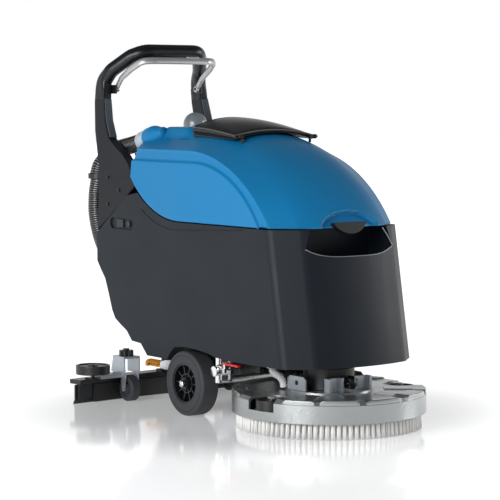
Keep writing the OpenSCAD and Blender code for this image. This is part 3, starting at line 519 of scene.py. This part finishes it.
def lid_shell():
    """The lid: crowned top, thick rim with a groove, square corners turned down at the front, and a painted
    highlight in light grey along the top of the rim's bead.
    """
    x0, x1, half, corner, side_points = -0.116, 0.086, 0.142, 0.010, 40

    def heights(x, y):
        u = (x - x0) / (x1 - x0)
        forward = np.clip(u, 0, 1)
        v = np.clip(1 - (y / half) ** 2, 0, 1)
        top = DECK_TOP - 0.021 * forward ** 1.6 + 0.029 * v * (1 - 0.45 * forward ** 4)
        low = 0.782 - 0.008 * u + 0.031 * v * (1 - 0.35 * forward ** 4)
        return top, low

    def on_corner(cx, cy, degrees):
        a = math.radians(degrees)
        return cx + corner * math.cos(a), cy + corner * math.sin(a)

    outline = []
    corners = [(x1 - corner, half - corner, 0), (x0 + corner, half - corner, 90),
               (x0 + corner, -half + corner, 180), (x1 - corner, -half + corner, 270)]
    for (cx, cy, degrees), following in zip(corners, corners[1:] + corners[:1]):
        outline += [on_corner(cx, cy, a) for a in np.linspace(degrees, degrees + 90, 7)]
        start, stop = np.array(outline[-1]), np.array(on_corner(*following))
        outline += [tuple(mix(start, stop, t)) for t in np.linspace(0, 1, side_points + 2)[1:-1]]
    o = np.array(outline)
    mid = np.array([(x0 + x1) / 2, 0])
    rings, slots = [], []

    def add(inset, z_of, slot):
        d = o - mid
        p = mid + d * (1 - inset / np.maximum(np.abs(d).max(axis=1), 0.05))[:, None]
        top, low = heights(p[:, 0], p[:, 1])
        rings.append(np.column_stack([p, z_of(top, low)]))
        slots.append(slot)

    for f in np.linspace(0.02, 0.93, 18):
        p = mid + (o - mid) * f
        top, _ = heights(p[:, 0], p[:, 1])
        rings.append(np.column_stack([p, top - 0.0022 * smoothstep((f - 0.86) / 0.07)]))
        slots.append(0)
    # outwards over the rim's bead, down round its groove and in underneath
    add(0.0060, lambda t, l: t - 0.0022, 0)
    add(0.0050, lambda t, l: t - 0.0002, 1)
    # the top of the bead takes the light grey slot: a painted highlight
    add(0.0024, lambda t, l: t + 0.0002, 2)
    add(0.0008, lambda t, l: t - 0.0012, 1)
    add(0.0, lambda t, l: t - 0.0030, 1)
    add(0.0006, lambda t, l: t + (l - t) * 0.60, 1)
    add(0.0030, lambda t, l: t + (l - t) * 0.64, 0)
    add(0.0030, lambda t, l: t + (l - t) * 0.70, 0)
    add(0.0004, lambda t, l: t + (l - t) * 0.74, 1)
    add(0.0, lambda t, l: l + 0.0025, 1)
    add(0.0016, lambda t, l: l + 0.0004, 1)
    add(0.0060, lambda t, l: l, 0)
    for f in (0.85, 0.6, 0.3, 0.02):
        p = mid + (o - mid) * f
        _, low = heights(p[:, 0], p[:, 1])
        rings.append(np.column_stack([p, low]))
        slots.append(0)
    m = len(o)
    faces = grid_faces(len(rings), m, wrap=True, flip=True)
    idx = [s for s in slots[:-1] for _ in range(m)]
    faces.append(tuple(range(m)))
    faces.append(tuple(range((len(rings) - 1) * m, len(rings) * m))[::-1])
    return mesh_object("lid_shell", np.concatenate(rings), faces, [LID, LID_RIM, PAINTED_HIGHLIGHT], idx + [0, 0])


EAR_BORE, EAR_RADIUS = 0.0031, 0.0062

lid = lid_shell()
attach(lid, "tank_lid")
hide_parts("tank_lid")
for side, word in ((1, "left"), (-1, "right")):
    ear = collar("lid_ear_" + word, EAR_BORE, EAR_RADIUS, 0.0007, (0.094, side * 0.1355, 0.783), LID, 32)
    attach(ear, "tank_lid")


# ---------------------------------------------------------------- handle

def mirrored(points):
    """The points, then their mirror images across y = 0 in reverse."""
    p = [tuple(q) for q in points]
    return p + [(x, -y, z) for x, y, z in reversed(p)]


leg_points = [(-0.5285, 0.1757, 0.888), (-0.5295, 0.1738, 0.918), (-0.5285, 0.1710, 0.942),
              (-0.505, 0.160, 0.973), (-0.455, 0.124, 1.014), (-0.425, 0.096, 1.0283)]
grip_path = resample(rounded_path(mirrored(leg_points), 0.05, 10), 0.005)
grip_length = path_length(grip_path)
GRIP_RADIUS = 0.0216


class GripOutline(Round):
    """The flat leg's section at both ends, turning into the round grip, with a fine moulding seam."""

    def __call__(self, s, ang):
        t = float(smoothstep((min(s, grip_length - s) - 0.018) / 0.075))
        wide, tall = squared(ang, mix(0.30, 1.0, t))
        seam = 0.0006 * np.exp(-(np.sin(ang) / 0.03) ** 2)
        return (wide * mix(0.0154, GRIP_RADIUS, t) - np.cos(ang) * seam,
                tall * mix(0.0243, GRIP_RADIUS, t) - np.sin(ang) * seam)


grip = sweep("grip_shell", grip_path, GripOutline(GRIP_RADIUS, sides=72), GRIP)
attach(grip, "chassis")
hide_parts("grip_sleeve")

lever_points = [(-0.502, 0.1465, 0.917), (-0.472, 0.1462, 0.950), (-0.424, 0.1420, 0.978),
                (-0.386, 0.130, 0.999), (-0.370, 0.098, 1.0005)]
lever_path = resample(rounded_path(mirrored(lever_points), 0.034, 9), 0.004)
lever_length = path_length(lever_path)


class LeverOutline(Round):
    """A flattened bar that is slimmer towards the pivots."""

    def __call__(self, s, ang):
        t = float(smoothstep((min(s, lever_length - s) - 0.01) / 0.11))
        wide, tall = squared(ang, 0.78)
        return wide * (self.a + 0.0016 * t), tall * (self.b + 0.0020 * t)


EYE_BORE, EYE_RADIUS = 0.0042, 0.0098

lever = sweep("lever_bar", lever_path, LeverOutline(0.0052, 0.0082, sides=32), LEVER)
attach(lever, "switch_lever")
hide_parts("switch_lever")
for side, word in ((1, "left"), (-1, "right")):
    eye = collar("lever_eye_" + word, EYE_BORE, EYE_RADIUS, 0.001, (-0.500, side * 0.1455, 0.918), LEVER, 48)
    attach(eye, "switch_lever")
tab_path = resample(np.array([(-0.371, 0.020, 1.0105), (-0.371, 0.060, 1.0105)]), 0.004)
tab = sweep("lever_tab", tab_path, Round(0.0065, 0.0030, sides=24), BRACKET)
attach(tab, "switch_lever")

cad_finish("handle_frame", CHEEK, 0.004, 4, 25)
cad_finish("handle_inserts", INSERT, 0.0015, 2, 25)
cad_finish("lever_blocks", BLACK, 0.0012)


# ---------------------------------------------------------------- suction hose

HOSE_RADIUS, HOSE_PITCH, HOSE_RIB = 0.0245, 0.0066, 0.0009


def spiral_hose(name, points):
    """A corrugated hose with a bright spiral rib."""
    path = resample(spline_path(points, 14), 0.0011)

    def wave(s, ang):
        return np.cos(2 * math.pi * s / HOSE_PITCH - ang)

    def crest_faces(s, ang):
        middles = (s[:-1] + s[1:]) / 2
        return (wave(middles[:, None], ang + math.pi / len(ang)) > 0.74).astype(int).ravel()

    outline = Round(HOSE_RADIUS, sides=28, ripple=lambda s, ang: HOSE_RIB * wave(s, ang))
    hose = sweep(name, path, outline, [HOSE, SPIRAL], crest_faces)
    return hose


upper = [(-0.559, -0.174, 0.6575), (-0.559, -0.174, 0.668), (-0.554, -0.169, 0.690),
         (-0.538, -0.154, 0.717), (-0.508, -0.144, 0.736), (-0.468, -0.141, 0.745),
         (-0.430, -0.138, 0.752), (-0.394, -0.136, 0.7595), (-0.356, -0.136, 0.7685)]
lower = [(-0.440, 0.0, 0.108), (-0.440, 0.0, 0.120), (-0.445, -0.005, 0.150), (-0.462, -0.024, 0.200),
         (-0.490, -0.062, 0.262), (-0.520, -0.104, 0.330), (-0.545, -0.138, 0.400),
         (-0.562, -0.162, 0.470), (-0.570, -0.174, 0.540), (-0.567, -0.176, 0.600),
         (-0.5595, -0.174, 0.642), (-0.559, -0.174, 0.6573)]
hose_upper = spiral_hose("hose_upper", upper)
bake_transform(hose_upper)
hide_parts("suction_hose_upper")
hose_lower = spiral_hose("hose_lower", lower)
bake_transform(hose_lower)
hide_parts("suction_hose_lower")
cad_finish("hose_clamp", BLACK, 0.0012)

water_route = [(0.214, -0.106, 0.175), (0.214, -0.106, 0.166), (0.222, -0.110, 0.152),
               (0.238, -0.116, 0.143), (0.254, -0.114, 0.137), (0.262, -0.106, 0.124),
               (0.263, -0.103, 0.107)]
water_path = resample(spline_path(water_route, 10), 0.0008)
water = sweep("water_hose", water_path, Round(0.0098, sides=24, ripple=ribs(0.0010, 0.0048)), WATER)
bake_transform(water)
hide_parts("solution_hose")


# ---------------------------------------------------------------- body

cad_finish("solution_tank", BODY, 0.0035, 3, 28)
cad_finish("console_housing", BODY, 0.004, 3, 28)
cad_finish("control_panel", BLACK, 0.001)
cad_finish("chassis_screws", BLACK, 0.0007)
cad_finish("charger_socket", BLACK, 0.001)
cad_finish("batteries", BATTERY, 0.002)
cad_finish("battery_leads", LEAD)
cad_finish("vacuum_motor", MOTOR, 0.001)
cad_finish("air_filter_dome", DOME)
cad_finish("axle", STEEL)
cad_finish("base_frame", FRAME)
cad_finish("solution_valve", CHROME, 0.0006)
cad_finish("tank_hinge_pin", STEEL)
cad_finish("fill_cap", BLACK, 0.001)
cad_finish("front_latch", BLACK, 0.003, 3)


NOSE_X, NOSE_RADIUS, NOSE_HALF, CHEEK_SLOPE = 0.424, 0.536, 0.151, 0.86
NOSE_RAKE = math.radians(10)


def nose_surface(y, z):
    """A point on the body's raked and bowed front at the given y and height."""
    across = min(abs(y), NOSE_HALF)
    bow = NOSE_X - NOSE_RADIUS + math.sqrt(NOSE_RADIUS ** 2 - across ** 2)
    bow -= max(0.0, abs(y) - NOSE_HALF) * CHEEK_SLOPE
    return np.array([bow / math.cos(NOSE_RAKE) - (z - SEAM) * math.tan(NOSE_RAKE), y, z])


def pocket_bead():
    """The bright edge round the pocket's mouth: a thin bead in light grey, a painted highlight."""
    smile = [nose_surface(y, 0.470 + 0.022 * (y / 0.150) ** 4) for y in np.linspace(-0.149, 0.149, 25)]
    far = [nose_surface(y, z) for y, z in ((0.143, 0.503), (0.131, 0.521), (0.114, 0.541))]
    back = [nose_surface(-0.149, 0.4925) - (d, 0, 0) for d in (0.030, 0.015)]
    inward = np.array([-0.0016, 0, 0.0006])
    path = resample(spline_path([p + inward for p in back + smile + far], 4), 0.003)
    return sweep("pocket_bead", path, Round(0.0014, sides=12), PAINTED_HIGHLIGHT)


# the long step in each flank, under the seam
for side, word in ((1, "left"), (-1, "right")):
    step_line = [(x, side * 0.2216, float(sill_height(x)) - 0.009 - 0.026 * (0.24 - x) / 0.50)
                 for x in np.linspace(-0.255, 0.235, 40)]
    step_path = resample(np.array(step_line), 0.006)
    step = sweep("body_step_" + word, step_path, Round(0.0018, sides=12), BODY)
    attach(step, "chassis")

bead = pocket_bead()
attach(bead, "chassis")


# ---------------------------------------------------------------- running gear

BOLT_DOME = [(0.0004, 0.0050), (0.0075, 0.0048), (0.0098, 0.0030), (0.0104, -0.0020), (0.0004, -0.0020)]

for word in ("right", "left"):
    cad_finish("tyre_" + word, TYRE, 0.0012, 2, 40)
    cad_finish("rim_" + word, RIM, 0.0006, 2, 40)
for side, word in ((1, "left"), (-1, "right")):
    low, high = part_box("rim_" + word)
    hub = ((low[0] + high[0]) / 2, side * 0.2284, (low[2] + high[2]) / 2)
    bolt = turned("hub_bolt_" + word, [(r, side * out) for r, out in BOLT_DOME], hub, CHROME, 48)
    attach(bolt, "chassis")
cad_finish("caster_fork", BRACKET)
cad_finish("caster_wheel", TYRE, 0.0008)


# ---------------------------------------------------------------- brush head

def knob(name, start, end, radius, lobes, depth, material):
    """A moulded hand knob with rounded lobes."""
    a, b = np.array(start, float), np.array(end, float)
    path = np.array([mix(a, b, t) for t in np.linspace(0, 1, 15)])
    length = float(np.linalg.norm(b - a))

    def moulding(s, ang):
        r = radius * (0.86 + 0.14 * float(smoothstep(min(s, length - s) / 0.005)))
        return r * (1 - depth * (0.5 - 0.5 * np.cos(lobes * ang))) - radius

    return sweep(name, path, Round(radius, sides=lobes * 12, ripple=moulding), material)


DECK_X, DECK_RIM, DECK_FACE = 0.330, 0.2648, 0.1020


def deck_pad(name, start, stop, inner, rise):
    """One raised facet along the deck's rim, between two angles in degrees."""
    rows = []
    first, last, ramp = (math.radians(a) for a in (start, stop, 1.6))
    base = DECK_FACE - 0.0012
    for a in np.linspace(first, last, 24):
        up = float(np.clip(min(a - first, last - a) / ramp, 0, 1))
        t = mix(base, DECK_FACE + rise, up)
        profile = [(DECK_RIM - 0.0002, 0.0930), (DECK_RIM, min(t, 0.0975)), (DECK_RIM - 0.0008, t - 0.0012),
                   (DECK_RIM - 0.0026, t), (inner + 0.007, t), (inner, 0.1012), (inner, 0.0985),
                   (0.2560, 0.0930)]
        rows.append([(DECK_X + r * math.cos(a), r * math.sin(a), z) for r, z in profile])
    m = len(rows[0])
    faces = grid_faces(len(rows), m, wrap=True)
    faces.append(tuple(range(m))[::-1])
    faces.append(tuple(range((len(rows) - 1) * m, len(rows) * m)))
    piece = mesh_object(name, np.concatenate(rows), faces, CAST)
    bevelled(piece, 0.0006, 2, 30)
    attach(piece, "brush_head")


cad_finish("brush_deck", CAST)
cad_finish("brush_motor", MOTOR, 0.0015)
cad_finish("head_bracket", BRACKET, 0.0012)
star = knob("star_knob_grip", (0.4090, 0, 0.128), (0.4360, 0, 0.128),
            radius=0.0187, lobes=7, depth=0.20, material=BLACK)
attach(star, "star_knob")
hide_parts("star_knob")
# start and stop angle, inner radius and rise of each raised facet
DECK_PADS = [(-66, -47, 0.226, 0.003), (-44, -21, 0.214, 0.0045), (-17, 8, 0.230, 0.003),
             (13, 38, 0.212, 0.005), (42, 66, 0.226, 0.003), (104, 140, 0.222, 0.003),
             (146, 214, 0.230, 0.003), (220, 256, 0.222, 0.003)]
for number, pad in enumerate(DECK_PADS, 1):
    deck_pad("deck_pad_%d" % number, *pad)
cad_finish("roller_right", BLACK, 0.0012)
cad_finish("roller_left", BLACK, 0.0012)
cad_finish("brush_plate", FRAME, 0.001)


TUFT_RINGS = [(0.2472, 100), (0.2290, 60), (0.2080, 50), (0.1820, 44), (0.1550, 38), (0.1300, 32)]
TUFT_TOP, TUFT_REACH = 0.0448, 0.2538
STRAND_SIDES = 5
PACKING, FLARE = 0.88, 1.03


def strands_in(radius):
    """Full tufts in the ring that shows, thinner ones behind it."""
    return 60 if radius > 0.24 else (12 if radius > 0.22 else 5)


def tufts():
    """Rings of bristle tufts, each a flared bundle whose strands end a little unevenly."""
    rng = np.random.default_rng(7)
    centre = np.array([DECK_X, 0.0])
    verts, faces = [], []

    def strand(a0, r, size):
        turn, off = rng.uniform(0, 2 * math.pi), size * math.sqrt(rng.uniform(0, 1)) * PACKING
        a = a0 + off * math.cos(turn) / r
        rr = r + off * math.sin(turn)
        top = centre + (rr - 0.002) * np.array([math.cos(a), math.sin(a)])
        spread = FLARE + rng.normal(0, 0.04)
        a_low = a0 + (a - a0) * spread + rng.normal(0, 0.0004)
        r_low = min(rr + 0.0005 + abs(rng.normal(0, 0.0006)), TUFT_REACH)
        low = centre + r_low * np.array([math.cos(a_low), math.sin(a_low)])
        z_low = 0.0004 + abs(rng.normal(0, 0.0009))
        w_top, w_low = size * 0.20, size * rng.uniform(0.13, 0.18)
        levels = ((w_top, top, TUFT_TOP), (w_top * 0.95, (top + low) / 2, 0.023), (w_low, low, z_low))
        start = len(verts)
        for w, p, z in levels:
            for q in range(STRAND_SIDES):
                t = 2 * math.pi * q / STRAND_SIDES + a
                verts.append((p[0] + w * math.cos(t), p[1] + w * math.sin(t), z))
        faces.extend(grid_faces(len(levels), STRAND_SIDES, wrap=True, start=start, flip=True))
        tip = start + (len(levels) - 1) * STRAND_SIDES
        faces.append(tuple(range(tip, tip + STRAND_SIDES))[::-1])

    for r, count in TUFT_RINGS:
        for k in range(count):
            a0 = 2 * math.pi * (k + rng.uniform(-0.06, 0.06)) / count
            size = rng.uniform(0.0054, 0.0058)
            for _ in range(strands_in(r)):
                strand(a0, r, size)
    return mesh_object("bristle_tufts", verts, faces, BRISTLE)


bristles = tufts()
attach(bristles, "brush")
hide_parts("brush_bristles")


# ---------------------------------------------------------------- squeegee

def flank(name, y, outline, thick):
    """A flat bracket plate with bevelled edges, cut to an outline in x and z."""
    m = len(outline)
    verts = [(x, y + d, z) for d in (0, thick) for x, z in outline]
    faces = [tuple(range(m)), tuple(range(m, 2 * m))[::-1]]
    faces += [(i, i + m, (i + 1) % m + m, (i + 1) % m) for i in range(m)]
    piece = mesh_object(name, verts, faces, BRACKET)
    bevelled(piece, 0.0007, 2, 30)
    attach(piece, "squeegee")


cad_finish("squeegee_arm", STEEL, 0.0012)
cad_finish("squeegee_body", SQUEEGEE, 0.002, 3, 30)
cad_finish("squeegee_blades", BLADE)
cad_finish("caster_brackets", BRACKET, 0.0025, 3)
FLANK_OUTLINE = [(-0.4240, 0.1316), (-0.3645, 0.1316), (-0.3590, 0.0840), (-0.4360, 0.0840)]
for word in ("right", "left"):
    cad_finish("end_roller_" + word, BLACK, 0.0015)
    cad_finish("squeegee_wheel_" + word, TYRE, 0.0008)
    cad_finish("bracket_knob_" + word, BLACK, 0.0012)
for side, word in ((1, "left"), (-1, "right")):
    flank("bracket_flank_" + word, side * 0.2108 - 0.0012, FLANK_OUTLINE, 0.0024)
cad_finish("release_lever", YELLOW, 0.0012)

# the yellow grip has finger ridges
yellow_path = resample(np.array([(-0.4655, -0.0520, 0.0975), (-0.4100, -0.0520, 0.0975)]), 0.0015)
yellow = sweep("release_grip", yellow_path,
               Round(0.0165, 0.0075, sides=32, ripple=ribs(0.0009, 0.0090)), YELLOW)
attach(yellow, "release_lever")


# ---------------------------------------------------------------- valve lever and controls

red_path = resample(np.array([(0.1120, -0.1848, 0.1600), (0.1735, -0.1868, 0.1600)]), 0.002)
red = sweep("valve_grip", red_path, Round(0.0062, 0.0044, sides=24), RED)
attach(red, "valve_lever")
cad_finish("key_switch", CHROME, 0.0006)
cad_finish("start_button", GREEN, 0.0008)
cad_finish("flow_knob", BLACK, 0.0008)
cad_finish("valve_lever", RED, 0.001)


# ---------------------------------------------------------------- studio

def map_range(n, l, value, inputs, outputs, interpolation="LINEAR"):
    """A node that takes value from one range to another, returned as its result socket."""
    node = n.new("ShaderNodeMapRange")
    node.interpolation_type = interpolation
    node.inputs["From Min"].default_value, node.inputs["From Max"].default_value = inputs
    node.inputs["To Min"].default_value, node.inputs["To Max"].default_value = outputs
    l.new(value, node.inputs["Value"])
    return node.outputs["Result"]


def combine(n, l, operation, a, b):
    """A maths node on two sockets, returned as its value socket."""
    node = n.new("ShaderNodeMath")
    node.operation = operation
    l.new(a, node.inputs[0])
    l.new(b, node.inputs[1])
    return node.outputs["Value"]


def floor_plane():
    """A glossy floor that glows softly towards its edges, so that it meets the white behind it."""
    pale = mottled("floor_pale", (0.72, 0.73, 0.74), 0.10, variation=0.01, grain=40, bump=0.0,
                   rough_spread=0.02, specular=0.9)
    n, l = pale.node_tree.nodes, pale.node_tree.links
    shader = n["Principled BSDF"]
    shader.inputs["Emission Color"].default_value = WHITE
    place = n.new("ShaderNodeTexCoord")
    distance = n.new("ShaderNodeVectorMath")
    distance.operation = "LENGTH"
    l.new(place.outputs["Object"], distance.inputs[0])
    glow = map_range(n, l, distance.outputs["Value"], (0.42, 0.90), (0.24, 0.60), "SMOOTHSTEP")
    l.new(glow, shader.inputs["Emission Strength"])
    f = FLOOR_HALF
    return mesh_object("floor", [(-f, -f, 0), (f, -f, 0), (f, f, 0), (-f, f, 0)], [(0, 1, 2, 3)], pale)


def white_world():
    """White behind everything; as a light it is dimmer overhead and from the front."""
    world = bpy.data.worlds.new("studio")
    world.use_nodes = True
    n, l = world.node_tree.nodes, world.node_tree.links
    where = n.new("ShaderNodeTexCoord")
    parts = n.new("ShaderNodeSeparateXYZ")
    l.new(where.outputs["Generated"], parts.inputs["Vector"])
    overhead = map_range(n, l, parts.outputs["Z"], (0.18, 0.55), (0.85, 0.16), "SMOOTHSTEP")
    forward = map_range(n, l, parts.outputs["X"], (0.2, 0.95), (1.0, 0.30))
    shaded = combine(n, l, "MULTIPLY", overhead, forward)
    ray = n.new("ShaderNodeLightPath")
    seen = combine(n, l, "MAXIMUM", ray.outputs["Is Camera Ray"], shaded)
    n["Background"].inputs["Color"].default_value = WHITE
    l.new(seen, n["Background"].inputs["Strength"])
    return world


def area(name, location, target, size, power):
    """A rectangular lamp of width and height size, in watts, that points at target."""
    data = bpy.data.lights.new(name, "AREA")
    data.shape = "RECTANGLE"
    data.size, data.size_y = size
    data.energy = power
    lamp = bpy.data.objects.new(name, data)
    lamp.location = location
    lamp.rotation_euler = (Vector(target) - Vector(location)).to_track_quat("-Z", "Y").to_euler()
    bpy.context.scene.collection.objects.link(lamp)


def camera_view():
    """The camera, as fitted to the photograph: a long lens, a few degrees down."""
    data = bpy.data.cameras.new("camera")
    data.sensor_width = SENSOR_WIDTH
    data.lens = LENS
    camera = bpy.data.objects.new("camera", data)
    camera.location = CAMERA_PLACE
    camera.rotation_euler = (math.radians(CAMERA_TILT), 0, math.radians(CAMERA_TURN))
    bpy.context.scene.collection.objects.link(camera)
    bpy.context.scene.camera = camera


WHITE = (1, 1, 1, 1)
FLOOR_HALF = 30
SENSOR_WIDTH, LENS = 36.0, 146.54
CAMERA_PLACE = (4.620, -3.456, 0.892)
CAMERA_TILT, CAMERA_TURN = 85.72, 53.38

floor = floor_plane()
bpy.context.scene.world = white_world()
area("key", (1.15, -3.5, 1.5), (0, 0, 0.5), (2.2, 1.6), 100)
area("back", (1.6, 3.4, 1.4), (0.2, 0, 0.5), (1.6, 1.6), 45)
camera_view()
bpy.context.scene.view_settings.view_transform = "Standard"
